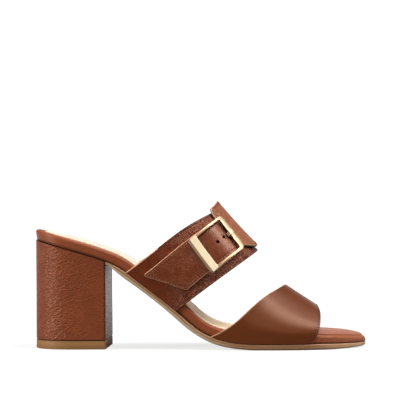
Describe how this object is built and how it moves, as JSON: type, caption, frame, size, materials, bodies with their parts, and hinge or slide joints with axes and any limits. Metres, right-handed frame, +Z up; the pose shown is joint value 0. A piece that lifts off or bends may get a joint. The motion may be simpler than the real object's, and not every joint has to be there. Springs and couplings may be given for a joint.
{
  "type": "heeled shoe",
  "caption": "Open-back heeled mule sandal with a covered block heel, a smooth vamp band and a buckled instep band.",
  "frame": {"origin": "middle of the heel's underside: centre of its length and width, on the floor", "axes": "+X from heel to toe, +Y to the inner side of the right foot, +Z up"},
  "size_m": [0.2254, 0.0862, 0.1001],
  "materials": {
    "smooth_leather": "smooth, polished",
    "grain_leather": "pebble grain, waxed",
    "heel_leather": "fine wrinkled grain",
    "wrapped_leather": "smooth, satin",
    "beige_sock": "soft, matt",
    "tan_outsole": "matt, two-tone edge",
    "tan_top_lift": "matt",
    "pale_gold": "polished, pale gold"
  },
  "bodies": {
    "root": {"outsole": "tan_outsole", "footbed": "wrapped_leather", "sock_lining": "beige_sock", "toe_cover": "wrapped_leather", "heel_block": "heel_leather", "heel_top_lift": "tan_top_lift", "vamp_band": "smooth_leather", "instep_band": "grain_leather", "instep_top_band": "grain_leather", "belt_strap": "grain_leather", "buckle_frame": "pale_gold", "buckle_plate": "pale_gold", "buckle_prong": "pale_gold"}
  },
  "joints": []
}
